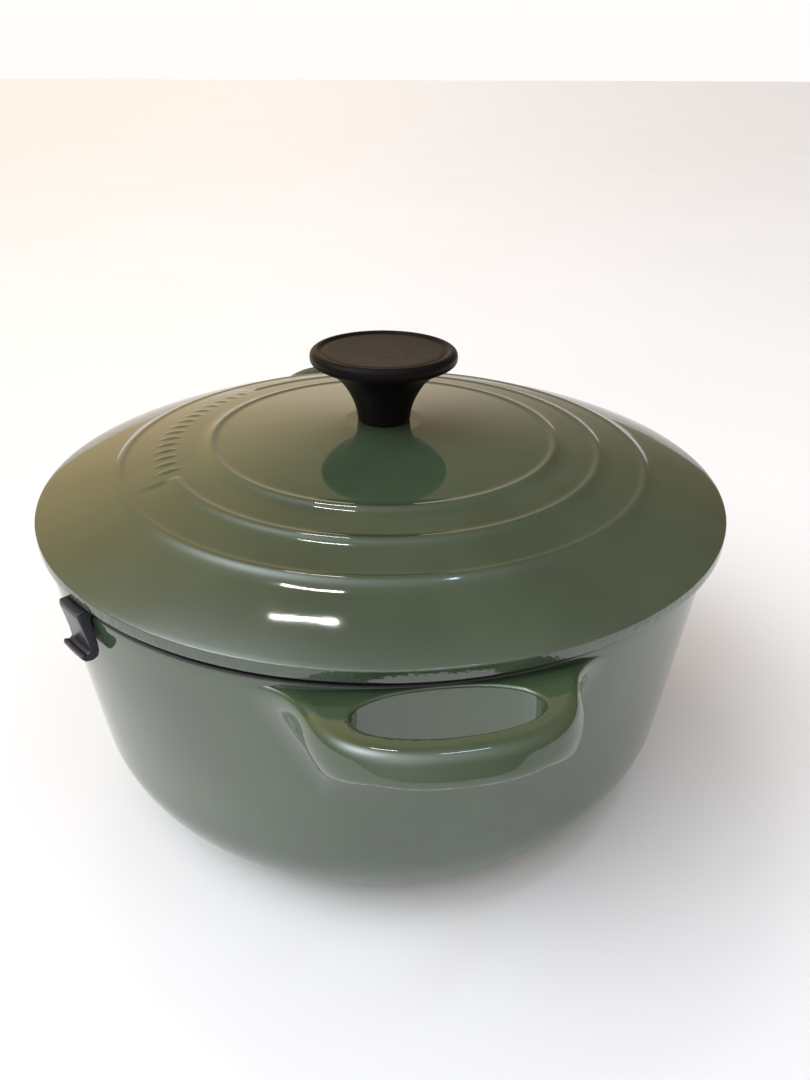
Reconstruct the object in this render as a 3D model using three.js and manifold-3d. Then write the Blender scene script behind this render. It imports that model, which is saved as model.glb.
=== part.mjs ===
// A round enamelled cast-iron casserole with its lid on: a pot with two cast loop handles, a domed lid
// with stepped rings, a mushroom knob held by a screw from below, and a plastic clip on the pot's rim
// that keeps the lid off the bare iron. Millimetres, +Z up. The origin is the middle of the base, on
// the table, and the two handles point along -Y and +Y.

import * as THREE from 'three';
import { mergeVertices } from 'three/addons/utils/BufferGeometryUtils.js';
import Module from 'manifold-3d';

const wasm = await Module();
wasm.setup();

// ---- Driving dimensions ----

const gap = 0.3;               // clearance kept between pieces that touch

// Pot
const rimHeight = 102;         // top of the rim above the table
const rimRadius = 111.2;       // outside of the rim
const rimWidth = 4.5;
const rimEdge = 0.8;           // bevel on both edges of the rim
const wallDraft = THREE.MathUtils.degToRad(5.8);
const cornerRadius = 36.5;     // large outside curve between wall and base
const innerCornerRadius = 32;
const footRadius = 66;
const footHeight = 1.2;
const floorHeight = 6;         // cooking surface above the table
const potSegments = 80;

// Loop handles, measured outwards from the pot's axis along the handle's own direction
const handleReach = 140.8;
const handleHalfWidth = 36;
const handleRootHalfWidth = 42;
const handleMiddle = 107;      // where the loop's outline is widest
const handleInside = 95;       // the loop is drawn from here, inside the wall, and joined to it
const outlinePower = 2.5;      // 2 is an ellipse, more is squarer
const crownHeight = 105.2;     // top of the loop at its outer edge
const shoulderHeight = 101.4;  // top of the loop at the rim, under the lid's edge
const rootBottom = 72;         // lowest point of the roots, on the wall
const fingerHoleMiddle = 122.6;
const fingerHoleHalfLength = 24;
const fingerHoleHalfWidth = 10.5;

// Lid
const lidRadius = 114;
const lidBand = 3.9;           // height of the upright edge
const lidEdge = 0.7;           // rounding of the edge
const lidThickness = 4.2;
const domeRise = 20.9;         // from the lid's edge to the middle
const bossRadius = 13;         // flat pad that the knob stands on
const flangeOuter = 104.6;     // ring that drops inside the pot
const flangeInner = 100.8;
const flangeDepth = 4;
const ringRadii = [57.9, 72.5, 87.7];
const ringStep = 0.9;
const ringWidth = 2.6;
const lidSegments = 80;

// The lid lies on the clip at one side and on the bare rim at the other, so it is very slightly tilted,
// and the clip's inner leg pushes it a little off centre.
const clipAngle = THREE.MathUtils.degToRad(-54.2);   // from the -Y handle round towards -X
const clipPlate = 1.8;
const clipWidth = 11;
const clipRadius = 110;
const lidShift = 1.2;
const liftAtClip = clipPlate + 2 * gap;
const liftOpposite = gap;
const lidTilt = Math.atan((liftAtClip - liftOpposite) / (2 * clipRadius));
const seatHeight = rimHeight + (liftAtClip + liftOpposite) / 2;

// Knob and its fastening, with heights measured from the pad that the knob stands on
const knobRadius = 24.2;
const knobStemRadius = 8.9;
const knobHeight = 24;
const insertRadius = 4.7;
const insertLength = 14;
const insertStart = 0.8;
const threadRadius = 2.8;      // tapped hole in the insert, at the thread's crest
const screwRadius = 2.4;
const screwHeadRadius = 5.6;
const screwHeadHeight = 3;
const screwReach = 11;         // how far the shank goes into the knob
const washerRadius = 8;
const washerThickness = 1.2;
const lidHoleRadius = 3.2;

// Facets round the small turned pieces
const knobSegments = 48;
const washerSegments = 32;
const screwSegments = 24;

const enamelGreen = 0x3d4a38;
const phenolicBlack = 0x1a1616;
const clipBlack = 0x1d1f27;
const brassYellow = 0xb08d4a;
const steelGrey = 0xb4b6b8;

// ---- Geometry helpers ----

const point = (x, y) => new THREE.Vector2(x, y);

// A solid turned about the Z axis. The profile is a list of [radius, height] pairs going round the
// section with its material on the left.
function turned(profile, segments) {
  const geometry = new THREE.LatheGeometry(profile.map(([r, z]) => point(r, z)), segments);
  return geometry.rotateX(Math.PI / 2);
}

function pointsOnly(geometry) {
  const bare = geometry.clone();
  bare.deleteAttribute('normal');
  bare.deleteAttribute('uv');
  return mergeVertices(bare, 1e-4);
}

function toSolid(geometry) {
  const bare = pointsOnly(geometry);
  const mesh = new wasm.Mesh({
    numProp: 3,
    vertProperties: new Float32Array(bare.attributes.position.array),
    triVerts: new Uint32Array(bare.index.array),
  });
  return new wasm.Manifold(mesh);
}

function toGeometry(solid) {
  const mesh = solid.getMesh();
  const geometry = new THREE.BufferGeometry();
  geometry.setAttribute('position', new THREE.BufferAttribute(new Float32Array(mesh.vertProperties), 3));
  geometry.setIndex(new THREE.BufferAttribute(new Uint32Array(mesh.triVerts), 1));
  return geometry;
}

// Points along a circular arc, as [radius, height] pairs.
function arc(centreR, centreZ, radius, fromAngle, toAngle, steps) {
  const points = [];
  for (let i = 0; i <= steps; i += 1) {
    const angle = fromAngle + (toAngle - fromAngle) * i / steps;
    points.push([centreR + radius * Math.cos(angle), centreZ + radius * Math.sin(angle)]);
  }
  return points;
}

function named(name, geometry, colour, roughness, metalness) {
  const material = new THREE.MeshStandardMaterial({ color: colour, roughness, metalness });
  const mesh = new THREE.Mesh(geometry, material);
  mesh.name = name;
  return mesh;
}

// ---- Pot ----

const wallRadius = (z) => rimRadius - (rimHeight - z) * Math.tan(wallDraft);
const innerWallRadius = (z) => wallRadius(z) - rimWidth;

function potOuterProfile() {
  const centreZ = footHeight + cornerRadius;
  const tangentZ = centreZ - cornerRadius * Math.sin(wallDraft);
  const centreR = wallRadius(tangentZ) - cornerRadius * Math.cos(wallDraft);
  return [
    [0, 0],
    [footRadius, 0],
    [footRadius + footHeight, footHeight],
    ...arc(centreR, centreZ, cornerRadius, -Math.PI / 2, -wallDraft, 7),
    [wallRadius(rimHeight - rimEdge), rimHeight - rimEdge],
    [rimRadius - rimEdge, rimHeight],
    [0, rimHeight],
  ];
}

function potCavityProfile() {
  const above = 5;
  const centreZ = floorHeight + innerCornerRadius;
  const tangentZ = centreZ - innerCornerRadius * Math.sin(wallDraft);
  const centreR = innerWallRadius(tangentZ) - innerCornerRadius * Math.cos(wallDraft);
  return [
    [0, floorHeight],
    ...arc(centreR, centreZ, innerCornerRadius, -Math.PI / 2, -wallDraft, 6),
    [innerWallRadius(rimHeight - rimEdge), rimHeight - rimEdge],
    [innerWallRadius(rimHeight) + rimEdge, rimHeight],
    [innerWallRadius(rimHeight) + rimEdge, rimHeight + above],
    [0, rimHeight + above],
  ];
}

// Plan outline of one loop: a squared-off oval outside, flaring where it runs into the wall.
function handleOutline() {
  const shape = new THREE.Shape();
  const flareStart = handleMiddle - 4;
  const steps = 18;
  shape.moveTo(-handleRootHalfWidth, handleInside);
  shape.lineTo(-handleRootHalfWidth, flareStart);
  for (let i = 0; i <= steps; i += 1) {
    const angle = Math.PI * (1 - i / steps);
    const across = Math.sign(Math.cos(angle)) * Math.abs(Math.cos(angle)) ** (2 / outlinePower);
    const out = Math.sin(angle) ** (2 / outlinePower);
    shape.lineTo(handleHalfWidth * across, handleMiddle + (handleReach - handleMiddle) * out);
  }
  shape.lineTo(handleRootHalfWidth, flareStart);
  shape.lineTo(handleRootHalfWidth, handleInside);
  shape.closePath();
  const hole = new THREE.Path();
  hole.absellipse(0, fingerHoleMiddle, fingerHoleHalfLength, fingerHoleHalfWidth, 0, 2 * Math.PI);
  shape.holes.push(hole);
  return shape;
}

// Side section of the handle: [distance out, height]. The top is flat and climbs a little going out.
// The underside is deep where it meets the wall and thin under the loop.
function handleSide() {
  const outerEdge = handleReach - 2;
  const climb = (crownHeight - shoulderHeight) / (outerEdge - rimRadius);
  const topAt = (out) => shoulderHeight + climb * (out - rimRadius);
  const section = new THREE.Shape();
  section.setFromPoints([
    point(handleInside, topAt(handleInside)),
    point(outerEdge, crownHeight),
    point(handleReach - 0.6, crownHeight - 1.4),
    point(handleReach, crownHeight - 4.5),
    point(handleReach - 0.6, crownHeight - 7),
    point(handleReach - 3.3, crownHeight - 8.8),
    point(128, 92.6),
    point(117, 87),
    point(109, 79.5),
    point(103.8, rootBottom),
    point(handleInside, rootBottom),
  ]);
  return section;
}

function handleSolid() {
  const plan = new THREE.ExtrudeGeometry(handleOutline(), {
    depth: crownHeight,
    bevelEnabled: false,
    curveSegments: 10,
  });
  plan.translate(0, 0, rootBottom / 2);
  const width = 2 * handleReach;
  const side = new THREE.ExtrudeGeometry(handleSide(), { depth: width, bevelEnabled: false });
  side.translate(0, 0, -width / 2);
  // The section is drawn in (out, up); this turns it to (+Y, +Z), extruded along X.
  side.applyMatrix4(new THREE.Matrix4().set(0, 0, 1, 0, 1, 0, 0, 0, 0, 1, 0, 0, 0, 0, 0, 1));
  return toSolid(plan).intersect(toSolid(side));
}

function potGeometry() {
  let solid = toSolid(turned(potOuterProfile(), potSegments));
  const handle = handleSolid();
  solid = solid.add(handle).add(handle.rotate([0, 0, 180]));
  solid = solid.subtract(toSolid(turned(potCavityProfile(), potSegments)));
  return toGeometry(solid);
}

// ---- Lid, drawn from its own seat plane ----

// Height of the smooth dome above the lid's edge: nearly a cone in the middle, falling faster outside.
function dome(r) {
  const fallStart = 101;
  return domeRise - 0.1 * r - 0.0558 * r * (r / fallStart) ** 3.3;
}

// Each ring is a small step down going outwards, taken back evenly by the next ring or the edge.
function ringedDome(r) {
  let height = dome(r);
  ringRadii.forEach((ring, index) => {
    const next = ringRadii[index + 1] ?? lidRadius;
    const along = THREE.MathUtils.clamp((r - ring) / ringWidth + 0.5, 0, 1);
    const back = THREE.MathUtils.clamp((r - ring) / (next - ring), 0, 1);
    height += ringStep * (back - along);
  });
  return height;
}

const padHeight = lidBand + dome(bossRadius);

function lidProfile() {
  const top = [];
  top.push([lidRadius - lidEdge, lidBand + ringedDome(lidRadius)]);
  top.push([lidRadius - 8, lidBand + ringedDome(lidRadius - 8)]);
  top.push([lidRadius - 17, lidBand + ringedDome(lidRadius - 17)]);
  for (const ring of [...ringRadii].reverse()) {
    top.push([ring + ringWidth / 2, lidBand + ringedDome(ring + ringWidth / 2)]);
    top.push([ring - ringWidth / 2, lidBand + ringedDome(ring - ringWidth / 2)]);
  }
  top.push([35, lidBand + dome(35)]);
  top.push([bossRadius, padHeight]);
  top.push([lidHoleRadius, padHeight]);
  const under = [lidHoleRadius, bossRadius, 35, 60, 80].map((r) => {
    const height = r <= bossRadius ? padHeight : lidBand + dome(r);
    return [r, height - lidThickness];
  });
  return [
    ...under,
    [flangeInner, lidBand + dome(flangeInner) - lidThickness],
    [flangeInner + 0.3, -flangeDepth],
    [flangeOuter - 0.4, -flangeDepth],
    [flangeOuter, 0],
    [lidRadius - lidEdge, 0],
    [lidRadius, lidEdge],
    [lidRadius, lidBand - lidEdge],
    ...top,
    under[0],
  ];
}

// ---- Knob, drawn from the bottom of its stem ----

function knobProfile() {
  const neck = new THREE.SplineCurve([
    point(knobStemRadius, 0),
    point(9.3, 3.6),
    point(10.8, 8),
    point(13.9, 13.2),
    point(17.6, 16.6),
    point(21.4, 18.7),
  ]);
  const groove = knobRadius * 0.848;
  const boreTop = insertStart + insertLength + gap;
  return [
    [0, boreTop],
    [insertRadius + gap, boreTop],
    [insertRadius + gap, 0],
    ...neck.getPoints(9).map((p) => [p.x, p.y]),
    [knobRadius - 0.8, 19.9],
    [knobRadius, 21.3],
    [knobRadius, knobHeight - 1.6],
    [knobRadius - 1, knobHeight - 0.3],
    [groove + 1.2, knobHeight],
    [groove, knobHeight - 0.7],
    [groove - 1.2, knobHeight - 0.5],
    [groove * 0.5, knobHeight - 0.7],
    [0, knobHeight - 0.8],
  ];
}

function insertProfile() {
  const top = insertStart + insertLength;
  const wall = 1.6;
  return [
    [threadRadius, insertStart],
    [insertRadius, insertStart],
    [insertRadius, top],
    [0, top],
    [0, top - wall],
    [threadRadius, top - wall],
    [threadRadius, insertStart],
  ];
}

// ---- Screw and washer, hanging under the pad ----

const washerTop = -lidThickness - gap;
const headTop = washerTop - washerThickness - gap;

function washerProfile() {
  const bottom = washerTop - washerThickness;
  return [
    [lidHoleRadius, bottom],
    [washerRadius, bottom],
    [washerRadius, washerTop],
    [lidHoleRadius, washerTop],
    [lidHoleRadius, bottom],
  ];
}

function screwProfile() {
  const headBottom = headTop - screwHeadHeight;
  return [
    [0, headBottom],
    [screwHeadRadius * 0.55, headBottom + 0.2],
    [screwHeadRadius * 0.9, headBottom + 1],
    [screwHeadRadius, headBottom + 2],
    [screwHeadRadius, headTop],
    [screwRadius, headTop],
    [screwRadius, screwReach - 0.8],
    [screwRadius - 0.8, screwReach],
    [0, screwReach],
  ];
}

// ---- Rim clip: one section, [distance out, height], extruded along the rim ----

function clipSection() {
  const plateTop = gap + clipPlate;
  const fromRim = (out, up) => point(rimRadius + out, rimHeight + up);
  const innerEdge = -rimWidth - 2;
  const section = new THREE.Shape();
  section.setFromPoints([
    fromRim(innerEdge, -3.6),
    fromRim(innerEdge + 1.2, -3.6),
    fromRim(innerEdge + 1.5, -0.8),
    fromRim(innerEdge + 2.3, gap),
    fromRim(-0.3, gap),
    fromRim(0.5, -0.6),
    fromRim(0.3, -4),
    fromRim(-0.1, -8.7),
    fromRim(-0.1, -11.3),
    fromRim(0.6, -13),
    fromRim(2.2, -13.6),
    fromRim(4.2, -12.9),
    fromRim(5.1, -11.6),
    fromRim(5, -10.2),
    fromRim(4.1, -10.3),
    fromRim(3.4, -11),
    fromRim(2.7, -10.2),
    fromRim(2.2, -8),
    fromRim(2.3, -5),
    fromRim(3, -1.8),
    fromRim(3.9, 0.2),
    fromRim(3.8, plateTop - 0.6),
    fromRim(3.1, plateTop),
    fromRim(innerEdge + 0.7, plateTop),
    fromRim(innerEdge, plateTop - 0.7),
  ]);
  return section;
}

function clipGeometry() {
  const geometry = new THREE.ExtrudeGeometry(clipSection(), { depth: clipWidth, bevelEnabled: false });
  geometry.translate(0, 0, -clipWidth / 2);
  // From (out, up, along) to the -Y side of the pot: out is -Y, up is +Z, along is +X.
  geometry.applyMatrix4(new THREE.Matrix4().set(0, 0, -1, 0, -1, 0, 0, 0, 0, 1, 0, 0, 0, 0, 0, 1));
  return geometry;
}

// ---- Assembly ----

const group = new THREE.Group();

group.add(named('pot', potGeometry(), enamelGreen, 0.12, 0));

const clip = named('rim_clip', clipGeometry(), clipBlack, 0.6, 0);
clip.rotation.z = clipAngle;
group.add(clip);

const covered = new THREE.Group();
covered.position.set(-lidShift * Math.sin(clipAngle), lidShift * Math.cos(clipAngle), seatHeight);
const tiltAxis = new THREE.Vector3(Math.cos(clipAngle), Math.sin(clipAngle), 0);
covered.quaternion.setFromAxisAngle(tiltAxis, -lidTilt);
covered.add(named('lid', turned(lidProfile(), lidSegments), enamelGreen, 0.12, 0));

const onPad = new THREE.Group();
onPad.position.z = padHeight;
covered.add(onPad);

const knob = named('knob', turned(knobProfile(), knobSegments), phenolicBlack, 0.5, 0);
const insert = named('knob_insert', turned(insertProfile(), screwSegments), brassYellow, 0.35, 1);
knob.position.z = gap;
insert.position.z = gap;
onPad.add(knob, insert);
onPad.add(named('knob_washer', turned(washerProfile(), washerSegments), steelGrey, 0.3, 1));
onPad.add(named('knob_screw', turned(screwProfile(), screwSegments), steelGrey, 0.3, 1));

group.add(covered);

export default group;
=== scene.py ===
"""A dark green enamelled casserole with its lid on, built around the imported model.

Lengths in this script are millimetres, in the model's own frame, and become metres when a mesh is made.
"""

import math

import bmesh
import bpy
import numpy as np
from mathutils import Matrix, Vector


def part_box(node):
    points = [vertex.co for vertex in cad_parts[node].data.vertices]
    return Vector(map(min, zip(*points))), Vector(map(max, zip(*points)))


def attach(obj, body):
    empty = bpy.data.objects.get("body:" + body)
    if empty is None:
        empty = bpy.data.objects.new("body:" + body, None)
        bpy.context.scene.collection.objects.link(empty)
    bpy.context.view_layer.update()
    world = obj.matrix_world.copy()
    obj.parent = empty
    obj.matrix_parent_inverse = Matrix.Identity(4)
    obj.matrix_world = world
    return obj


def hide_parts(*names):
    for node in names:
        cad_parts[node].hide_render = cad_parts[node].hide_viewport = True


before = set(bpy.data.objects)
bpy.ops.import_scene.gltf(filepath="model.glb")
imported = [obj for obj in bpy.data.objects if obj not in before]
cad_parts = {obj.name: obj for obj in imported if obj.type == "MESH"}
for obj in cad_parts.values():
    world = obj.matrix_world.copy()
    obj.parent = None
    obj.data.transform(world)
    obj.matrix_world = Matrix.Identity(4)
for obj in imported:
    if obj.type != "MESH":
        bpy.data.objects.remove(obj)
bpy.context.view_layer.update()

METRE = 0.001

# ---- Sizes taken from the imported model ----


def box_mm(node):
    """The lowest and highest corners of a CAD node, in millimetres."""
    low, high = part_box(node)
    return np.array(low) / METRE, np.array(high) / METRE


pot_high = box_mm("pot")[1]
lid_low, lid_high = box_mm("lid")
knob_low, knob_high = box_mm("knob")

RIM_RADIUS = pot_high[0]
HANDLE_REACH = pot_high[1]
CROWN_HEIGHT = pot_high[2]
LID_RADIUS = (lid_high[0] - lid_low[0]) / 2
LID_SHIFT = (lid_low[:2] + lid_high[:2]) / 2

# ---- Pot ----

RIM_HEIGHT = 102.0
RIM_WIDTH = 4.5
RIM_EDGE = 1.1
WALL_DRAFT = math.tan(math.radians(5.8))
CORNER_RADIUS = 36.5
INNER_CORNER_RADIUS = 32.0
FOOT_RADIUS = 66.0
FOOT_HEIGHT = 1.2
FLOOR_HEIGHT = 6.0
POT_COLUMNS = 360

# ---- Loop handles ----

HANDLE_HALF_WIDTH = 33.8
HANDLE_MIDDLE = 107.0
LOOP_LENGTH = HANDLE_REACH - 0.8 - HANDLE_MIDDLE     # its lower edge leans out by the rest
OUTLINE_POWER = 2.5
SHOULDER_HEIGHT = 101.4     # top of the loop at the rim; it climbs a little going out
TOP_CLIMB = (CROWN_HEIGHT + 0.1 - SHOULDER_HEIGHT) / (HANDLE_REACH - 2 - RIM_RADIUS)
TOP_EDGE = 2.8
ROOT_BOTTOM = 72.0
UNDERSIDE_START = 103.0     # the underside rises from the root's bottom here, steeply at first
UNDERSIDE_LENGTH = 34.0
UNDERSIDE_RISE = 25.0
UNDERSIDE_POWER = 0.75
BOTTOM_EDGE = 1.8
FINGER_HOLE_MIDDLE = 121.7
FINGER_HOLE_SIZE = (22.3, 10.2)
FINGER_HOLE_POWER = 2.15
HOLE_EDGE = 1.3
SIDE_LEAN = 0.46            # the loop's side faces lean inwards going up, as a slope
LEAN_FROM = 100.3
LEAN_DEPTH = 3.6            # below this far under LEAN_FROM the sides are upright
LEAN_BLEND = 3.0
ROOT_TAPER = 0.5            # the root narrows going down, as a slope
TAPER_FROM = 96.0
TAPER_BLEND = 6.0
FILLET = 13.0
HANDLE_MESH_STEP = 0.7

# ---- Lid, in its own frame: the seat plane is z = 0 ----

LID_BAND = 3.9
LID_THICKNESS = 4.2
DOME_RISE = 20.9
BOSS_RADIUS = 13.0
FLANGE_OUTER = 104.6
FLANGE_INNER = 100.8
FLANGE_DEPTH = 4.0
LID_HOLE = 3.2
RING_RADII = (57.9, 72.5, 87.7)
GAP = 0.3
CLIP_PLATE = 1.8
CLIP_WIDTH = 11.0
CLIP_ANGLE = math.radians(-54.2)
CLIP_RADIUS = 110.0
LID_TILT = math.atan((CLIP_PLATE + GAP) / (2 * CLIP_RADIUS))
SEAT_HEIGHT = RIM_HEIGHT + (CLIP_PLATE + 3 * GAP) / 2

# ---- Knob ----

KNOB_RADIUS = (knob_high[0] - knob_low[0]) / 2
KNOB_HEIGHT = 24.0


# ---- Mesh helpers ----


def rounded(corners, step=0.35, straight=4.0):
    """A dense [radius, height] path through corners, each given as (r, z) or (r, z, fillet radius).

    step is the spacing of points on fillets and straight the spacing between them.
    """
    corners = [tuple(c) + (0.0,) * (3 - len(c)) for c in corners]
    path = [np.array(corners[0][:2], float)]
    for before, here, after in zip(corners, corners[1:], corners[2:]):
        path.extend(fillet(before, here, after, step))
    path.append(np.array(corners[-1][:2], float))
    dense = [path[0]]
    for a, b in zip(path, path[1:]):
        length = np.linalg.norm(b - a)
        if length < 1e-5:
            continue
        parts = max(1, int(round(length / straight)))
        dense.extend(a + (b - a) * i / parts for i in range(1, parts + 1))
    return np.array(dense)


def fillet(before, here, after, step):
    """The points of an arc that rounds one corner of a path, or the corner itself if it is sharp."""
    smallest_radius = 0.6      # smaller fillets get as many points as this one
    widest_turn = 0.09         # between two points on a large fillet, in radians
    corner = np.array(here[:2], float)
    back = np.array(before[:2], float) - corner
    ahead = np.array(after[:2], float) - corner
    back, ahead = back / np.linalg.norm(back), ahead / np.linalg.norm(ahead)
    half = math.acos(float(np.clip(back @ ahead, -1, 1))) / 2
    radius = here[2]
    cut = radius / math.tan(half) if radius > 0 else 0.0
    if cut <= 1e-6 or math.pi / 2 - half < 1e-3:
        return [corner]
    start, end = corner + back * cut, corner + ahead * cut
    bisector = (back + ahead) / np.linalg.norm(back + ahead)
    centre = corner + bisector * radius / math.sin(half)
    first = math.atan2(*(start - centre)[::-1])
    turn = (math.atan2(*(end - centre)[::-1]) - first + math.pi) % (2 * math.pi) - math.pi
    spacing = max(step, radius * widest_turn)
    count = max(4, int(abs(turn) * max(radius, smallest_radius) / spacing) + 1)
    angles = [first + turn * i / count for i in range(count + 1)]
    return [centre + radius * np.array([math.cos(a), math.sin(a)]) for a in angles]


def revolve(path, angles, closed=False):
    """Points and faces of a surface of revolution, and the path's row that each face belongs to.

    A path that starts or ends on the axis gets a pole there. A closed path joins its end to its start.
    """
    columns = len(angles)
    poles = [not closed and abs(path[i][0]) < 1e-6 for i in (0, -1)]
    rows = path[1 if poles[0] else 0:len(path) - (1 if poles[1] else 0)]
    points = np.stack([
        np.outer(rows[:, 0], np.cos(angles)),
        np.outer(rows[:, 0], np.sin(angles)),
        np.outer(rows[:, 1], np.ones(columns)),
    ], axis=-1).reshape(-1, 3)
    faces, row_of_face = [], []
    last = len(rows) if closed else len(rows) - 1
    for i in range(last):
        here, there = i * columns, ((i + 1) % len(rows)) * columns
        for j in range(columns):
            k = (j + 1) % columns
            faces.append((here + j, here + k, there + k, there + j))
            row_of_face.append(i)
    tips = []
    for has_pole, height, row in ((poles[0], path[0][1], 0), (poles[1], path[-1][1], len(rows) - 1)):
        if not has_pole:
            continue
        tip = len(points) + len(tips)
        tips.append([0, 0, height])
        for j in range(columns):
            ring = (row * columns + j, row * columns + (j + 1) % columns)
            faces.append((tip, *(ring if row else ring[::-1])))
            row_of_face.append(row)
    if tips:
        points = np.vstack([points, tips])
    return points, faces, np.array(row_of_face)


def make_object(name, points, faces, materials, material_of_face=None, placed=None):
    """A smooth-shaded mesh object from points in millimetres."""
    points = np.asarray(points, float)
    if placed is not None:
        turn = np.array(placed.to_3x3())
        points = points @ turn.T + np.array(placed.translation)
    mesh = bpy.data.meshes.new(name)
    mesh.from_pydata((points * METRE).tolist(), [], [tuple(int(i) for i in f) for f in faces])
    for material in materials:
        mesh.materials.append(material)
    if material_of_face is not None:
        mesh.polygons.foreach_set("material_index", np.asarray(material_of_face, dtype=np.int32))
    mesh.shade_smooth()
    mesh.update()
    obj = bpy.data.objects.new(name, mesh)
    bpy.context.scene.collection.objects.link(obj)
    return obj


def outward(obj):
    """Turns every face of a closed mesh outwards."""
    net = bmesh.new()
    net.from_mesh(obj.data)
    bmesh.ops.recalc_face_normals(net, faces=net.faces)
    net.to_mesh(obj.data)
    net.free()
    return obj


def even_angles(count):
    """Angles spread evenly round a full turn, starting at zero."""
    return np.arange(count) * 2 * math.pi / count


def smooth_step(x, low, high):
    """0 below low, 1 above high, and a smooth rise between them."""
    t = np.clip((x - low) / (high - low), 0, 1)
    return t * t * (3 - 2 * t)


# ---- Surfaces given by a distance field ----


def smooth_min(a, b, k):
    """The smaller of two fields, blended where they are within k of each other."""
    h = np.maximum(k - np.abs(a - b), 0)
    return np.minimum(a, b) - h * h / (4 * k)


def smooth_max(a, b, k):
    return -smooth_min(-a, -b, k)


def surface_net(field, low, high, step):
    """Quads round the zero level of a field, one point in each grid cell that the level crosses."""
    axes = [np.arange(a, b + step, step) for a, b in zip(low, high)]
    grid = np.meshgrid(*axes, indexing="ij")
    values = field(*grid)
    size = [n - 1 for n in values.shape]
    corners = [(i, j, k) for i in (0, 1) for j in (0, 1) for k in (0, 1)]
    total = np.zeros(size + [3])
    count = np.zeros(size)

    def at(corner):
        return values[tuple(slice(c, c + n) for c, n in zip(corner, size))]

    for a in corners:
        for b in corners:
            if sum(b) - sum(a) != 1 or any(q < p for p, q in zip(a, b)):
                continue
            va, vb = at(a), at(b)
            crosses = (va < 0) != (vb < 0)
            share = np.where(crosses, va / np.where(crosses, va - vb, 1), 0)
            spot = np.array(a) + share[..., None] * (np.array(b) - np.array(a))
            total += np.where(crosses[..., None], spot, 0)
            count += crosses
    active = count > 0
    index = np.full(size, -1)
    index[active] = np.arange(active.sum())
    cells = np.argwhere(active)
    points = np.array(low) + (cells + total[active] / count[active][:, None]) * step
    faces = []
    for axis in range(3):
        u, v = (axis + 1) % 3, (axis + 2) % 3
        inner = [slice(None)] * 3
        inner[axis] = slice(0, size[axis])
        inner[u], inner[v] = slice(1, size[u]), slice(1, size[v])
        ahead = list(inner)
        ahead[axis] = slice(1, size[axis] + 1)
        va, vb = values[tuple(inner)], values[tuple(ahead)]
        for sign in (True, False):
            spots = np.argwhere(((va < 0) != (vb < 0)) & ((va < 0) == sign))
            spots[:, u] += 1
            spots[:, v] += 1
            ring = []
            for du, dv in ((-1, -1), (0, -1), (0, 0), (-1, 0)):
                cell = spots.copy()
                cell[:, u] += du
                cell[:, v] += dv
                ring.append(index[tuple(cell.T)])
            quads = np.stack(ring if sign else ring[::-1], axis=-1)
            faces.append(quads)
    faces = np.vstack(faces)
    return points, faces


def gradient(field, points, width=0.02):
    """The field's slope at each point, by central differences."""
    slope = np.zeros_like(points)
    for axis in range(3):
        offset = np.zeros(3)
        offset[axis] = width
        ahead, behind = points + offset, points - offset
        slope[:, axis] = (field(*ahead.T) - field(*behind.T)) / (2 * width)
    return slope


def settle(field, points, faces, rounds=4):
    """Evens out the points along the surface and puts them exactly on it."""
    edges = np.unique(np.sort(np.vstack([faces[:, [i, (i + 1) % 4]] for i in range(4)]), axis=1), axis=0)
    degree = np.bincount(edges.ravel(), minlength=len(points))[:, None]
    for _ in range(rounds):
        total = np.zeros_like(points)
        np.add.at(total, edges[:, 0], points[edges[:, 1]])
        np.add.at(total, edges[:, 1], points[edges[:, 0]])
        points = points + 0.5 * (total / degree - points)
        for _ in range(2):
            slope = gradient(field, points)
            points = points - (field(*points.T) / np.maximum((slope ** 2).sum(1), 1e-6))[:, None] * slope
    return points


# ---- Materials ----


def new_material(name, colour, roughness, ior=1.5, metallic=0.0):
    """A material and its Principled shader."""
    material = bpy.data.materials.new(name)
    material.use_nodes = True
    shader = material.node_tree.nodes["Principled BSDF"]
    shader.inputs["Base Color"].default_value = (*colour, 1)
    shader.inputs["Roughness"].default_value = roughness
    shader.inputs["IOR"].default_value = ior
    shader.inputs["Metallic"].default_value = metallic
    return material, shader


def add_node(material, kind, **settings):
    """Adds a node. Each setting is an input's value if it has that name, or else the node's own."""
    node = material.node_tree.nodes.new(kind)
    for key, value in settings.items():
        if key in node.inputs:
            node.inputs[key].default_value = value
        else:
            setattr(node, key, value)
    return node


def link(material, source, target):
    material.node_tree.links.new(source, target)


def noise(material, scale, detail=2.0, rough=0.5):
    """Noise over the piece's own space, in cycles per metre."""
    where = add_node(material, "ShaderNodeTexCoord")
    texture = add_node(material, "ShaderNodeTexNoise", Scale=scale, Detail=detail, Roughness=rough)
    link(material, where.outputs["Object"], texture.inputs["Vector"])
    return texture.outputs["Fac"]


def ramp(material, source, stops):
    """A colour ramp: stops are (position, colour)."""
    node = add_node(material, "ShaderNodeValToRGB")
    elements = node.color_ramp.elements
    while len(elements) < len(stops):
        elements.new(0.5)
    for element, (position, colour) in zip(elements, stops):
        element.position = position
        element.color = (*colour, 1)
    link(material, source, node.inputs["Fac"])
    return node.outputs["Color"]


def remap(material, source, low, high, to_low, to_high):
    """Maps the range low to high onto to_low to to_high."""
    node = add_node(material, "ShaderNodeMapRange")
    for key, value in (("From Min", low), ("From Max", high), ("To Min", to_low), ("To Max", to_high)):
        node.inputs[key].default_value = value
    link(material, source, node.inputs["Value"])
    return node.outputs["Result"]


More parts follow.
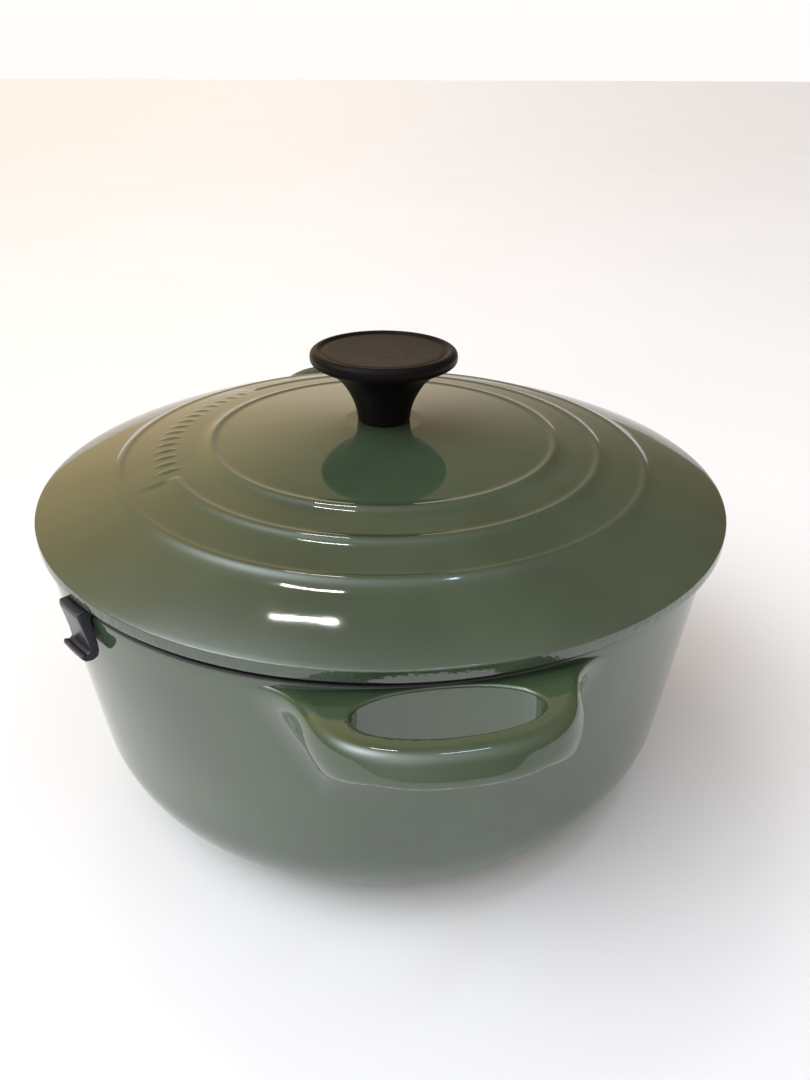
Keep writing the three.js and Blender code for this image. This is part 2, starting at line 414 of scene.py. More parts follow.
def vary_roughness(material, shader, scale, low, high):
    """Lets the roughness wander between two values; noise lies mostly between 0.3 and 0.7."""
    rough = remap(material, noise(material, scale), 0.3, 0.7, low, high)
    link(material, rough, shader.inputs["Roughness"])


def vary_colour(material, shader, texture, dark, light, start=0.35):
    """Lets the colour wander from dark, where the texture is at start or below, to light at 0.7."""
    tone = ramp(material, texture, [(start, dark), (0.7, light)])
    link(material, tone, shader.inputs["Base Color"])


def bump(material, shader, layers):
    """Stacks bumps: layers are (height output, distance in millimetres)."""
    previous = None
    for height, distance in layers:
        node = add_node(material, "ShaderNodeBump", Strength=1.0, Distance=distance * METRE)
        link(material, height, node.inputs["Height"])
        if previous is not None:
            link(material, previous, node.inputs["Normal"])
        previous = node.outputs["Normal"]
    link(material, previous, shader.inputs["Normal"])


def specks(material, per_metre, size):
    """Scattered round specks: 1 at a speck's middle, 0 away from it. size is a share of their spacing."""
    where = add_node(material, "ShaderNodeTexCoord")
    cells = add_node(material, "ShaderNodeTexVoronoi", Scale=per_metre)
    link(material, where.outputs["Object"], cells.inputs["Vector"])
    return remap(material, cells.outputs["Distance"], 0.0, size, 1.0, 0.0)


def enamel(name, dark, light, roughness=0.06, ripple=0.0):
    """Thick vitreous enamel: a glassy coat with slight waves, tiny specks and a faint change of colour.

    ripple is the depth in millimetres of the runs that the glaze leaves along a sharp edge.
    """
    material, shader = new_material(name, light, roughness, ior=1.85)
    vary_colour(material, shader, noise(material, scale=28, detail=3), dark, light, start=0.3)
    vary_roughness(material, shader, 60, roughness * 0.7, roughness * 1.6)
    waves = noise(material, scale=45, detail=1.5, rough=0.4)
    peel = noise(material, scale=260)
    layers = [(waves, 0.10), (peel, 0.010), (specks(material, per_metre=62, size=0.03), 0.10)]
    if ripple:
        layers.append((noise(material, scale=330, rough=0.6), ripple))
    bump(material, shader, layers)
    return material


def matte_iron(name):
    """The thin satin-black enamel on the rims."""
    material, shader = new_material(name, (0.012, 0.012, 0.011), 0.5)
    grain = noise(material, scale=900, detail=3)
    vary_colour(material, shader, grain, (0.008, 0.008, 0.008), (0.02, 0.02, 0.018))
    bump(material, shader, [(noise(material, scale=1500), 0.05)])
    return material


def phenolic(name):
    """Moulded phenolic: near black, with a fine leathery grain."""
    material, shader = new_material(name, (0.005, 0.004, 0.004), 0.36)
    shader.inputs["Specular IOR Level"].default_value = 0.07
    grain = noise(material, scale=1400, detail=3)
    vary_colour(material, shader, grain, (0.004, 0.003, 0.003), (0.007, 0.005, 0.005))
    vary_roughness(material, shader, 1200, 0.30, 0.40)
    bump(material, shader, [(noise(material, scale=1500, detail=3, rough=0.6), 0.07)])
    return material


def clip_plastic(name):
    """Smooth moulded plastic, nearly black with a trace of blue."""
    material, shader = new_material(name, (0.014, 0.015, 0.022), 0.27)
    clouds = noise(material, scale=400)
    vary_colour(material, shader, clouds, (0.011, 0.012, 0.018), (0.019, 0.02, 0.028), start=0.3)
    grain, unevenness = noise(material, scale=2600), noise(material, scale=160, detail=1)
    bump(material, shader, [(grain, 0.02), (unevenness, 0.04)])
    return material


def metal(name, colour, roughness):
    """Bright metal with a fine uneven grain."""
    material, shader = new_material(name, colour, roughness, metallic=1.0)
    darker = tuple(c * 0.8 for c in colour)
    vary_colour(material, shader, noise(material, scale=350, detail=3), darker, colour, start=0.3)
    vary_roughness(material, shader, 1200, roughness * 0.8, roughness * 1.4)
    bump(material, shader, [(noise(material, scale=3000), 0.01)])
    return material


LID_COLOURS = ((0.034, 0.054, 0.030), (0.048, 0.073, 0.041))
POT_COLOURS = ((0.035, 0.058, 0.030), (0.050, 0.080, 0.041))
SAND_COLOURS = ((0.60, 0.51, 0.38), (0.66, 0.575, 0.44))
POT_GREEN = enamel("enamel_green_pot", *POT_COLOURS, roughness=0.045)
LID_GREEN = enamel("enamel_green_lid", *LID_COLOURS)
EDGE_GREEN = enamel("enamel_green_edge", *LID_COLOURS, ripple=0.3)
SAND = enamel("enamel_sand", *SAND_COLOURS)
IRON = matte_iron("rim_black")
PHENOLIC = phenolic("phenolic")
CLIP = clip_plastic("clip_plastic")
STEEL = metal("steel", (0.55, 0.55, 0.56), 0.25)
BRASS = metal("brass", (0.45, 0.30, 0.10), 0.3)


# ---- Pot ----


def wall_radius(z):
    """Radius of the pot's outer wall at a height, above the corner."""
    return RIM_RADIUS - (RIM_HEIGHT - z) * WALL_DRAFT


def pot_path():
    """The pot's section: from the middle of the foot, out and up to the rim, and down inside."""
    return rounded([
        (0, 0),
        (FOOT_RADIUS, 0, 0.5),
        (FOOT_RADIUS + FOOT_HEIGHT, FOOT_HEIGHT, 1.0),
        (wall_radius(FOOT_HEIGHT), FOOT_HEIGHT, CORNER_RADIUS),
        (RIM_RADIUS, RIM_HEIGHT, RIM_EDGE),
        (RIM_RADIUS - RIM_WIDTH, RIM_HEIGHT, RIM_EDGE),
        (wall_radius(FLOOR_HEIGHT) - RIM_WIDTH, FLOOR_HEIGHT, INNER_CORNER_RADIUS),
        (0, FLOOR_HEIGHT),
    ])


def handle_top(out):
    """Height of the handle's flat top, which climbs from the rim to the outer edge."""
    return SHOULDER_HEIGHT + TOP_CLIMB * (out - RIM_RADIUS)


def handle_bottom(out):
    """Height of the handle's underside: deep at the wall, thin under the loop."""
    share = np.clip((out - UNDERSIDE_START) / UNDERSIDE_LENGTH, 0, 1)
    return ROOT_BOTTOM + UNDERSIDE_RISE * share ** UNDERSIDE_POWER


def oval(x, y, half_x, half_y, power):
    """About the distance outside an oval, negative inside it."""
    size = (np.abs(x / half_x) ** power + np.abs(y / half_y) ** power) ** (1 / power)
    return (size - 1) * np.sqrt(x * x + y * y) / np.maximum(size, 1e-6)


def wall_distance(x, y, z):
    lean = 1 / math.sqrt(1 + WALL_DRAFT ** 2)
    return (np.sqrt(x * x + y * y) - wall_radius(z)) * lean


def loop_distance(x, y, z):
    """The loop's outline and underside on the -Y side, before it runs into the wall."""
    out = -y
    beyond = np.maximum(out - HANDLE_MIDDLE, 0)
    tapered = np.abs(x) + ROOT_TAPER * smooth_max(TAPER_FROM - z, 0, TAPER_BLEND)
    outline = oval(tapered, beyond, HANDLE_HALF_WIDTH, LOOP_LENGTH, OUTLINE_POWER)
    drop = smooth_min(LEAN_FROM - z, LEAN_DEPTH, LEAN_BLEND)
    steepness = 0.85       # turns a height difference into about a distance, on a sloping underside
    bottom = (handle_bottom(out) - z) * steepness
    return smooth_max(outline - SIDE_LEAN * drop, bottom, BOTTOM_EDGE)


def handle_distance(x, y, z):
    """One whole handle with its fillets, its top cut flat and its finger hole."""
    out = -y
    steepness = 0.99       # about a distance again, for the gently climbing top
    solid = smooth_min(wall_distance(x, y, z), loop_distance(x, y, z), FILLET)
    solid = smooth_max(solid, (z - handle_top(out)) * steepness, TOP_EDGE)
    hole = -oval(x, out - FINGER_HOLE_MIDDLE, *FINGER_HOLE_SIZE, FINGER_HOLE_POWER)
    return smooth_max(solid, hole, HOLE_EDGE)


def handle_solid_distance(x, y, z):
    """The handle, ending just inside the wall and where its fillets die out."""
    depth_in_wall = 2.0
    faded = 0.35
    inside = -(wall_distance(x, y, z) + depth_in_wall)
    past_fillet = loop_distance(x, y, z) - FILLET + faded
    return np.maximum(np.maximum(handle_distance(x, y, z), inside), past_fillet)


def handle_mesh():
    """Points, faces and normals of the loop on the -Y side."""
    low = (-58.0, -HANDLE_REACH - 2.0, 55.0)
    high = (58.0, -92.0, CROWN_HEIGHT + 2.0)
    points, faces = surface_net(handle_solid_distance, low, high, HANDLE_MESH_STEP)
    points = settle(handle_solid_distance, points, faces)
    normals = gradient(handle_distance, points)
    return points, faces, normals / np.linalg.norm(normals, axis=1)[:, None]


def pot_looks(path, rows):
    """Which material each face of the turned pot gets: 0 outside, 1 on the black rim, 2 inside."""
    rim_black_depth = 1.4
    middle = (path[:-1] + path[1:]) / 2
    middle = middle[np.clip(rows + 1, 0, len(middle) - 1)]      # row 0 starts after the pole
    past_corner = rows > np.argmax(path[:, 0])
    on_rim = past_corner & (middle[:, 1] > RIM_HEIGHT - rim_black_depth)
    return np.where(on_rim, 1, np.where(past_corner, 2, 0))


def build_pot():
    """The turned pot with its two handles, in one object. The handles' ends lie inside the wall."""
    path = pot_path()
    points, faces, rows = revolve(path, even_angles(POT_COLUMNS))
    looks = pot_looks(path, rows)
    loop_points, loop_faces, loop_normals = handle_mesh()
    half_turn = np.array([-1, -1, 1])
    both_loops = np.vstack([loop_points, loop_points * half_turn])
    for start in (len(points), len(points) + len(loop_points)):
        faces.extend(map(tuple, (loop_faces + start).tolist()))
    looks = np.concatenate([looks, np.zeros(2 * len(loop_faces), int)])
    pot = make_object("pot_casting", np.vstack([points, both_loops]), faces, [POT_GREEN, IRON, SAND], looks)
    outward(pot)
    normals = np.array([v.normal for v in pot.data.vertices])
    normals[len(points):] = np.vstack([loop_normals, loop_normals * half_turn])
    pot.data.normals_split_custom_set_from_vertices(normals.tolist())
    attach(pot, "pot")
    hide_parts("pot")


# ---- Lid ----


def lid_frame():
    """From the lid's own frame to the model's: slightly off centre and tilted on the clip."""
    axis = Vector((math.cos(CLIP_ANGLE), math.sin(CLIP_ANGLE), 0))
    place = Matrix.Translation((LID_SHIFT[0], LID_SHIFT[1], SEAT_HEIGHT))
    return place @ Matrix.Rotation(-LID_TILT, 4, axis)


LID_PLACE = lid_frame()


def dome(r):
    """Height of the lid's smooth dome above its edge band: a cone that falls faster outside."""
    return DOME_RISE - 0.1 * r - 0.0558 * r * (r / 101.0) ** 3.3


PAD_HEIGHT = LID_BAND + dome(BOSS_RADIUS)
RING_WIDTH = 1.5
RING_RISE = 0.55
RING_STEP = 0.45                   # the dome drops this much past each ring
RING_STEP_WIDTH = 6.0
MOTIF_FROM = math.radians(-71)     # the middle ring stops here and the row of beads begins
MOTIF_TO = math.radians(-142)
RING_END_FADE = 0.03
BEADS = 15
BEAD_SIZE = (4.2, 1.3, 0.38)       # half length outwards, half width, height
BEAD_ROUNDNESS = 1.2
BEAD_MARGIN = 0.06                 # share of the gap left free before the first bead, and after the last


def ring_relief(r, angle):
    """The stepped rings. The middle one is missing where the beads are."""
    height = np.zeros_like(r)
    begins = smooth_step(-angle, -MOTIF_FROM - RING_END_FADE, -MOTIF_FROM)
    ends = smooth_step(-angle, -MOTIF_TO, -MOTIF_TO + RING_END_FADE)
    in_gap = begins * (1 - ends)
    for index, ring in enumerate(RING_RADII):
        present = 1 - in_gap if index == 1 else 1.0
        rib = np.exp(-((r - ring) / RING_WIDTH) ** 2)
        following = RING_RADII[index + 1] if index < 2 else LID_RADIUS
        step = smooth_step(r, ring - 0.5, ring - 0.5 + RING_STEP_WIDTH)
        back = smooth_step(r, ring, following)
        height += present * (RING_RISE * rib + RING_STEP * (back - step))
    return height


def bead_relief(r, angle):
    """A row of plain oval beads along the gap in the middle ring."""
    half_length, half_width, rise = BEAD_SIZE
    height = np.zeros_like(r)
    gap = MOTIF_TO - MOTIF_FROM
    for i in range(BEADS):
        share = BEAD_MARGIN + (1 - 2 * BEAD_MARGIN) * i / (BEADS - 1)
        where = MOTIF_FROM + gap * share
        along = (r - RING_RADII[1] - 0.4) / half_length
        across = (angle - where) * r / half_width
        height += rise * np.clip(1 - along ** 2 - across ** 2, 0, 1) ** BEAD_ROUNDNESS
    return height


def lid_path():
    """The lid's closed section, in its own frame: under the middle, out to the rim, back over the dome."""
    edge = LID_BAND + dome(LID_RADIUS)
    dome_start = BOSS_RADIUS + 4
    top = [(r, LID_BAND + dome(r)) for r in np.linspace(LID_RADIUS - 3, dome_start, 40)]
    under = [(r, LID_BAND + dome(r) - LID_THICKNESS) for r in np.linspace(dome_start, 96, 24)]
    return rounded([
        (LID_HOLE, PAD_HEIGHT - LID_THICKNESS),
        (BOSS_RADIUS, PAD_HEIGHT - LID_THICKNESS, 1.5),
        *under,
        (FLANGE_INNER, LID_BAND + dome(FLANGE_INNER) - LID_THICKNESS, 3.0),
        (FLANGE_INNER + 0.3, -FLANGE_DEPTH, 0.8),
        (FLANGE_OUTER - 0.4, -FLANGE_DEPTH, 0.8),
        (FLANGE_OUTER, 0, 0.6),
        (LID_RADIUS, 0, 0.8),
        (LID_RADIUS, edge, 0.55),
        *top,
        (BOSS_RADIUS, PAD_HEIGHT, 2.0),
        (LID_HOLE, PAD_HEIGHT, 0.4),
        (LID_HOLE, PAD_HEIGHT - LID_THICKNESS),
    ], straight=1.2)


def with_finer_rings(path):
    """Adds points to the top of the path where the rings and beads stand."""
    reach, longest, parts_there = 6, 0.6, 3
    spots = [path[0]]
    for a, b in zip(path, path[1:]):
        on_top = a[1] > LID_BAND + dome(a[0]) - 1 and b[0] < a[0] - 1e-6
        near = min(abs((a[0] + b[0]) / 2 - ring) for ring in RING_RADII) < reach
        parts = parts_there if on_top and near and np.linalg.norm(b - a) > longest else 1
        spots.extend(a + (b - a) * i / parts for i in range(1, parts + 1))
    return np.array(spots)


def lid_angles():
    """Columns round the lid, close together where the beads are. They run from +X anticlockwise."""
    margin = 0.08
    fine_step = math.radians(0.45)
    quarter = math.pi / 2      # the relief's angles start from -Y
    low = (MOTIF_TO - margin - quarter) % (2 * math.pi)
    high = (MOTIF_FROM + margin - quarter) % (2 * math.pi)
    coarse = even_angles(360)
    keep = coarse[(coarse < low) | (coarse > high)]
    return np.sort(np.concatenate([keep, np.arange(low, high, fine_step)]))


def build_lid():
    path = with_finer_rings(lid_path())[:-1]
    points, faces, rows = revolve(path, lid_angles(), closed=True)
    r = np.hypot(points[:, 0], points[:, 1])
    angle = np.arctan2(points[:, 0], -points[:, 1])      # from -Y round towards +X
    on_top = points[:, 2] > LID_BAND + dome(r) - 1.0
    carries_relief = on_top & (r < LID_RADIUS - 1.2) & (r > BOSS_RADIUS + 2)
    relief = ring_relief(r, angle) + bead_relief(r, angle)
    points[:, 2] += np.where(carries_relief, relief, 0)
    middle = ((path + np.roll(path, -1, axis=0)) / 2)[rows]
    seat = (middle[:, 1] < 0.4) & (middle[:, 0] > FLANGE_INNER + 0.2)
    band = (middle[:, 0] > LID_RADIUS - 0.25) & (middle[:, 1] > 0.3)
    looks = np.where(seat, 1, np.where(band, 2, 0))
    lid = make_object("lid_casting", points, faces, [LID_GREEN, IRON, EDGE_GREEN], looks, LID_PLACE)
    outward(lid)
    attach(lid, "lid")
    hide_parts("lid")


# ---- Knob and its fastening, drawn from the pad ----

PAD_PLACE = LID_PLACE @ Matrix.Translation((0, 0, PAD_HEIGHT))
KNOB_PLACE = PAD_PLACE @ Matrix.Translation((0, 0, GAP))
KNOB_GROOVE = KNOB_RADIUS * 0.848


def spline(points, steps):
    """A smooth curve through a few points."""
    points = np.array(points, float)
    padded = np.vstack([2 * points[0] - points[1], points, 2 * points[-1] - points[-2]])
    out = []
    for p0, p1, p2, p3 in zip(padded, padded[1:], padded[2:], padded[3:]):
        for t in np.arange(steps) / steps:
            out.append(0.5 * (2 * p1 + (p2 - p0) * t + (2 * p0 - 5 * p1 + 4 * p2 - p3) * t ** 2
                              + (3 * p1 - p0 - 3 * p2 + p3) * t ** 3))
    return [tuple(p) for p in out] + [tuple(points[-1])]


def build_knob():
    """The mushroom-shaped knob, with a shallow groove round its top and a bore for the insert."""
    bore_radius, bore_depth = 5.0, 15.1
    neck = spline([(8.9, 0.9), (9.3, 3.6), (10.8, 8), (13.9, 13.2), (17.6, 16.6), (21.4, 18.7)], 8)
    path = rounded([
        (0, bore_depth),
        (bore_radius, bore_depth),
        (bore_radius, 0, 0.4),
        (8.8, 0, 0.5),
        *neck,
        (KNOB_RADIUS, 20.2, 1.7),
        (KNOB_RADIUS, KNOB_HEIGHT - 0.1, 2.0),
        (KNOB_GROOVE + 1.3, KNOB_HEIGHT, 1.2),
        (KNOB_GROOVE + 0.1, KNOB_HEIGHT - 0.75, 0.6),
        (KNOB_GROOVE - 1.4, KNOB_HEIGHT - 0.55, 1.2),
        (KNOB_GROOVE * 0.5, KNOB_HEIGHT - 0.75, 40.0),
        (0, KNOB_HEIGHT - 0.8),
    ], straight=1.0)
    points, faces, _ = revolve(path, even_angles(192))
    knob = outward(make_object("knob_moulding", points, faces, [PHENOLIC], placed=KNOB_PLACE))
    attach(knob, "lid")
    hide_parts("knob")


def build_insert():
    """The threaded insert, knurled outside so that the moulding grips it."""
    outside, inside, low, high = 4.6, 2.8, 0.8, 14.8
    bore_top = 13.2
    knurls, knurl_depth = 24, 0.022
    path = rounded([
        (0, high),
        (outside, high, 0.3),
        (outside, low, 0.3),
        (inside, low),
        (inside, bore_top, 0.2),
        (0, bore_top),
    ], straight=0.5)
    points, faces, _ = revolve(path, even_angles(144))
    r = np.hypot(points[:, 0], points[:, 1])
    angle = np.arctan2(points[:, 1], points[:, 0])
    ridge = np.where(r > outside - 0.2, 1 + knurl_depth * np.cos(knurls * angle), 1.0)
    points[:, :2] *= ridge[:, None]
    insert = outward(make_object("knob_insert_brass", points, faces, [BRASS], placed=KNOB_PLACE))
    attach(insert, "lid")
    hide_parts("knob_insert")


WASHER_TOP = -LID_THICKNESS - GAP
WASHER_THICKNESS = 1.2
WASHER_RADIUS = 8
HEAD_TOP = WASHER_TOP - WASHER_THICKNESS - GAP
HEAD_HEIGHT = 3.0
HEAD_RADIUS = 5.6
SCREW_REACH = 11.0


def build_washer():
    low = WASHER_TOP - WASHER_THICKNESS
    half_way = low + WASHER_THICKNESS / 2
    path = rounded([
        (LID_HOLE, half_way),
        (LID_HOLE, low, 0.15),
        (WASHER_RADIUS, low, 0.35),
        (WASHER_RADIUS, WASHER_TOP, 0.35),
        (LID_HOLE, WASHER_TOP, 0.15),
        (LID_HOLE, half_way),
    ], straight=0.6)[:-1]
    points, faces, _ = revolve(path, even_angles(128), closed=True)
    washer = outward(make_object("knob_washer_steel", points, faces, [STEEL], placed=PAD_PLACE))
    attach(washer, "lid")
    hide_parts("knob_washer")


def cross_recess(x, y):
    """1 inside the arms of a cross, 0 outside them."""
    across = np.minimum(np.abs(x), np.abs(y))
    along = np.maximum(np.abs(x), np.abs(y))
    return (1 - smooth_step(across, 0.45, 0.75)) * (1 - smooth_step(along, 1.9, 2.7))


def build_screw():
    """A pan-head screw with a cross recess below and a rolled thread above."""
    low = HEAD_TOP - HEAD_HEIGHT
    crest, root, pitch = 2.4, 2.05, 0.8
    recess_depth = 1.7
    path = rounded([
        (0, low),
        (HEAD_RADIUS * 0.6, low + 0.1, 2.0),
        (HEAD_RADIUS, low + 1.4, 1.2),
        (HEAD_RADIUS, HEAD_TOP, 0.3),
        (crest, HEAD_TOP, 0.3),
        (crest, SCREW_REACH - 0.8, 0.2),
        (crest - 0.8, SCREW_REACH, 0.2),
        (0, SCREW_REACH),
    ], step=0.2, straight=0.16)
    points, faces, _ = revolve(path, even_angles(96))
    x, y, z = points.T
    on_shank = (z > HEAD_TOP + 0.5) & (z < SCREW_REACH - 0.9) & (np.hypot(x, y) > 1.5)
    phase = np.arctan2(y, x) / (2 * math.pi) + z / pitch
    wave = 0.5 + 0.5 * np.cos(2 * math.pi * phase)
    thread = (root + (crest - root) * wave) / crest
    recess = np.where(z < low + 0.6, recess_depth * cross_recess(x, y), 0)
    points[:, 2] += recess
    points[:, :2] *= np.where(on_shank, thread, 1.0)[:, None]
    screw = outward(make_object("knob_screw_steel", points, faces, [STEEL], placed=PAD_PLACE))
    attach(screw, "lid")
    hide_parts("knob_screw")


# ---- Rim clip ----


def clip_outline():
    """The clip's section, measured from the rim's top outer corner: [distance out, height].

    It runs down inside the rim, back up and over it, down the outside, and round a hook to the top.
    """
    top = GAP + CLIP_PLATE
    inner = -RIM_WIDTH - 2
    return rounded([
        (inner, -2.0),
        (inner, -3.6, 0.4),
        (inner + 1.2, -3.6, 0.4),
        (inner + 1.5, -0.8, 1.0),
        (inner + 2.3, GAP, 0.7),
        (-0.3, GAP, 0.6),
        (0.5, -0.6, 0.8),
        (0.3, -4, 2),
        (-0.1, -8.7, 3),
        (-0.1, -11.3, 2),
        (0.5, -13, 1.0),
        (2.2, -13.6, 1.0),
        (4.2, -13.1, 0.9),
        (5.1, -12.0, 0.6),
        (5.0, -10.8, 0.3),
        (4.2, -10.7, 0.3),
        (3.3, -11.2, 0.5),
        (2.5, -10.4, 0.8),
        (2.7, -7.5, 4),
        (3.2, -4, 5),
        (3.7, -1.0, 3),
        (4.0, 0.6, 1.0),
        (3.7, top, 0.6),
        (inner, top, 0.7),
        (inner, -2.0),
    ], straight=1.5)[:-1]


def clip_stations():
    """Where the clip's sections stand, as shares of its width, and how far each one is drawn in."""
    edge = 0.35
    near_end = [
        (-0.5, edge),
        (-0.5 + edge * 0.3 / CLIP_WIDTH, edge * 0.3),
        (-0.5 + edge / CLIP_WIDTH, 0),
    ]
    far_end = [(-s, inset) for s, inset in near_end[::-1]]
    return near_end + [(s, 0) for s in np.linspace(-0.4, 0.4, 9)] + far_end


def build_clip():
    """The clip's section, carried along the rim. Its two ends are flat faces with eased edges."""
    outline = clip_outline()
    stations = clip_stations()
    tangent = np.roll(outline, -1, axis=0) - np.roll(outline, 1, axis=0)
    inward = np.stack([-tangent[:, 1], tangent[:, 0]], axis=-1)
    inward /= np.linalg.norm(inward, axis=1)[:, None]
    count = len(outline)
    points, faces = [], []
    for along, inset in stations:
        turn = along * CLIP_WIDTH / RIM_RADIUS
        section = outline + inward * inset
        out, height = RIM_RADIUS + section[:, 0], RIM_HEIGHT + section[:, 1]
        points.append(np.stack([out * math.sin(turn), -out * math.cos(turn), height], -1))
    for i in range(len(stations) - 1):
        for j in range(count):
            k = (j + 1) % count
            faces.append((i * count + j, i * count + k, (i + 1) * count + k, (i + 1) * count + j))
    faces.append(tuple(range(count)))
    faces.append(tuple(range((len(stations) - 1) * count, len(stations) * count)))
    place = Matrix.Rotation(CLIP_ANGLE, 4, "Z")
    clip = outward(make_object("rim_clip_moulding", np.vstack(points), faces, [CLIP], placed=place))
    for face in clip.data.polygons:
        if len(face.vertices) > 4:
            face.use_smooth = False
    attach(clip, "pot")
    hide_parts("rim_clip")


build_pot()
build_lid()
build_knob()
build_insert()
build_washer()
build_screw()
build_clip()


# ---- Floor, light and camera ----


def build_floor():
    """A plain pale floor that reaches well past the picture's edges."""
    half = 30.0      # metres
    material, shader = new_material("floor_white", (0.86, 0.85, 0.85), 0.35)
    clouds = noise(material, scale=4)
    vary_colour(material, shader, clouds, (0.85, 0.84, 0.84), (0.87, 0.86, 0.86), start=0.3)
    shader.inputs["Specular IOR Level"].default_value = 0.25
    mesh = bpy.data.meshes.new("floor")
    corners = [(-half, -half, 0), (half, -half, 0), (half, half, 0), (-half, half, 0)]
    mesh.from_pydata(corners, [], [(0, 1, 2, 3)])
    mesh.materials.append(material)
    floor = bpy.data.objects.new("floor", mesh)
    bpy.context.scene.collection.objects.link(floor)


def towards(turn, height):
    """The direction turned from +Y towards +X and raised, both in degrees."""
    turn, height = math.radians(turn), math.radians(height)
    return math.sin(turn) * math.cos(height), math.cos(turn) * math.cos(height), math.sin(height)


def strip_light(name, start, end, distance, width, power, colour):
    """A narrow lamp that faces the pot, between two directions given as (turn, height).

    distance and width are in metres and power is in watts.
    """
    target = Vector((0, 0, 0.09))
    ends = [target + Vector(towards(*direction)) * distance for direction in (start, end)]
    along = ends[1] - ends[0]
    light = bpy.data.lights.new(name, "AREA")
    light.shape = "RECTANGLE"
    light.size, light.size_y = along.length, width
    light.energy = power
    light.color = colour
    lamp = bpy.data.objects.new(name, light)
    middle = (ends[0] + ends[1]) / 2
    away = (middle - target).normalized()
    side = away.cross(along).normalized()
    turned = Matrix((along.normalized(), side, away)).transposed().to_4x4()
    lamp.matrix_world = Matrix.Translation(middle) @ turned
    lamp.visible_camera = False
    bpy.context.scene.collection.objects.link(lamp)


# Soft glows all round the pot: (turn, height), tightness, colour. They have no edges to be mirrored.
GLOWS = (
    ((-142, 44), 5.0, (1.56, 1.68, 1.83)),
    ((-98, 50), 16.0, (4.90, 5.20, 5.60)),
    ((145, 52), 3.0, (0.34, 0.35, 0.37)),
    ((-36, 25), 8.0, (0.56, 0.40, 0.16)),
    ((-12, 12), 16.0, (0.40, 0.26, 0.12)),
    ((5, 0), 14.0, (0.62, 0.55, 0.48)),
)
AMBIENT = (0.20, 0.135, 0.075)
BACKDROP = (1.0, 0.985, 0.965)


def glow_output(nodes, links, direction, aim, tightness, colour):
    """One glow's light from a direction: its colour times exp(tightness * (cos(angle off aim) - 1))."""
    cosine = nodes.new("ShaderNodeVectorMath")
    cosine.operation = "DOT_PRODUCT"
    cosine.inputs[1].default_value = towards(*aim)
    links.new(direction, cosine.inputs[0])
    exponent = nodes.new("ShaderNodeMath")
    exponent.operation = "MULTIPLY_ADD"
    exponent.inputs[1].default_value = tightness
    exponent.inputs[2].default_value = -tightness
    links.new(cosine.outputs["Value"], exponent.inputs[0])
    glow = nodes.new("ShaderNodeMath")
    glow.operation = "EXPONENT"
    links.new(exponent.outputs[0], glow.inputs[0])
    tinted = nodes.new("ShaderNodeVectorMath")
    tinted.operation = "SCALE"
    tinted.inputs[0].default_value = colour
    links.new(glow.outputs[0], tinted.inputs["Scale"])
    return tinted.outputs[0]


def build_world():
    """The glows light the pot and are mirrored in it. The camera sees a plain pale backdrop instead."""
    world = bpy.data.worlds.new("studio")
    world.use_nodes = True
    nodes, links = world.node_tree.nodes, world.node_tree.links
    direction = nodes.new("ShaderNodeTexCoord").outputs["Generated"]
    total = None
    for aim, tightness, colour in GLOWS:
        added = nodes.new("ShaderNodeVectorMath")
        added.operation = "ADD"
        links.new(glow_output(nodes, links, direction, aim, tightness, colour), added.inputs[0])
        if total is None:
            added.inputs[1].default_value = AMBIENT
        else:
            links.new(total, added.inputs[1])
        total = added.outputs[0]
    ray = nodes.new("ShaderNodeLightPath")
    seen = nodes.new("ShaderNodeMix")
    seen.data_type = "RGBA"
    factor, lighting, backdrop = seen.inputs[0], seen.inputs[6], seen.inputs[7]
    links.new(ray.outputs["Is Camera Ray"], factor)
    links.new(total, lighting)
    backdrop.default_value = (*BACKDROP, 1)
    links.new(seen.outputs[2], nodes["Background"].inputs["Color"])
    bpy.context.scene.world = world


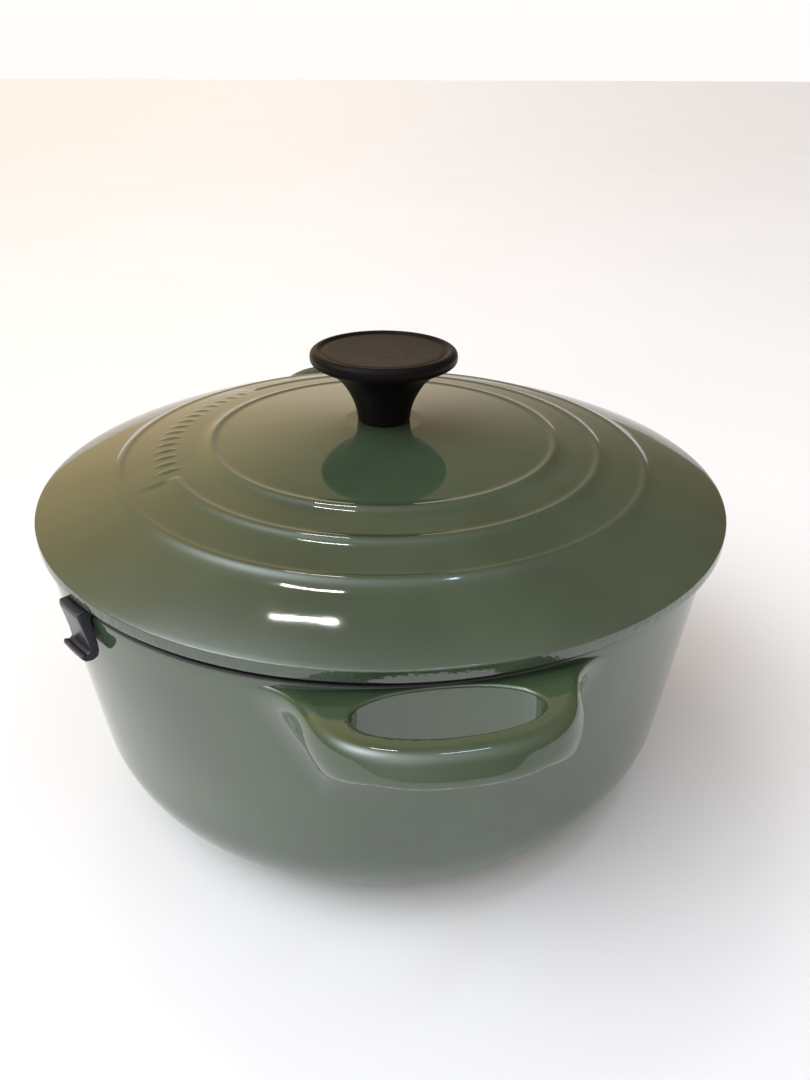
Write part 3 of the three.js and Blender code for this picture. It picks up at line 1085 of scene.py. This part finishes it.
def build_lights():
    """Two narrow lamps, for the sharp white and blue highlights on the enamel."""
    strip_light("ceiling_lamp", (-32, 65), (-12, 71), 1.6, 0.030, 1.3, (1.0, 0.98, 0.96))
    strip_light("cool_lamp", (115, 72), (165, 72), 1.6, 0.030, 1.3, (0.45, 0.65, 1.0))


CAMERA_DISTANCE = 297.6                # from the middle of the lid's edge
CAMERA_HEIGHT_ANGLE = math.radians(24.33)
CAMERA_TURN = math.radians(-7.0)       # from the -Y handle towards -X
CAMERA_PITCH = math.radians(28.84)
CAMERA_YAW = math.radians(1.77)
CAMERA_ROLL = math.radians(-0.29)
FOCAL_SHARE = 850.0 / 1080.0           # focal length over the picture's height
SENSOR_HEIGHT = 36.0


def build_camera():
    """A camera close above the front handle, placed round the middle of the lid's edge."""
    lid_middle = Vector((0, 0, SEAT_HEIGHT + LID_BAND))
    back = CAMERA_DISTANCE * math.cos(CAMERA_HEIGHT_ANGLE)
    place = lid_middle + Vector((
        back * math.sin(CAMERA_TURN),
        -back * math.cos(CAMERA_TURN),
        CAMERA_DISTANCE * math.sin(CAMERA_HEIGHT_ANGLE),
    ))
    heading = CAMERA_YAW - CAMERA_TURN
    forward = Vector((
        math.sin(heading) * math.cos(CAMERA_PITCH),
        math.cos(heading) * math.cos(CAMERA_PITCH),
        -math.sin(CAMERA_PITCH),
    ))
    right = forward.cross(Vector((0, 0, 1))).normalized()
    up = right.cross(forward)
    right, up = (
        right * math.cos(CAMERA_ROLL) - up * math.sin(CAMERA_ROLL),
        up * math.cos(CAMERA_ROLL) + right * math.sin(CAMERA_ROLL),
    )
    data = bpy.data.cameras.new("camera")
    data.sensor_fit = "VERTICAL"
    data.sensor_height = SENSOR_HEIGHT
    data.lens = SENSOR_HEIGHT * FOCAL_SHARE
    data.clip_start = 0.01
    camera = bpy.data.objects.new("camera", data)
    camera.matrix_world = Matrix((
        (right.x, up.x, -forward.x, place.x * METRE),
        (right.y, up.y, -forward.y, place.y * METRE),
        (right.z, up.z, -forward.z, place.z * METRE),
        (0, 0, 0, 1),
    ))
    bpy.context.scene.collection.objects.link(camera)
    bpy.context.scene.camera = camera


build_floor()
build_world()
build_lights()
build_camera()
bpy.context.scene.view_settings.view_transform = "Standard"

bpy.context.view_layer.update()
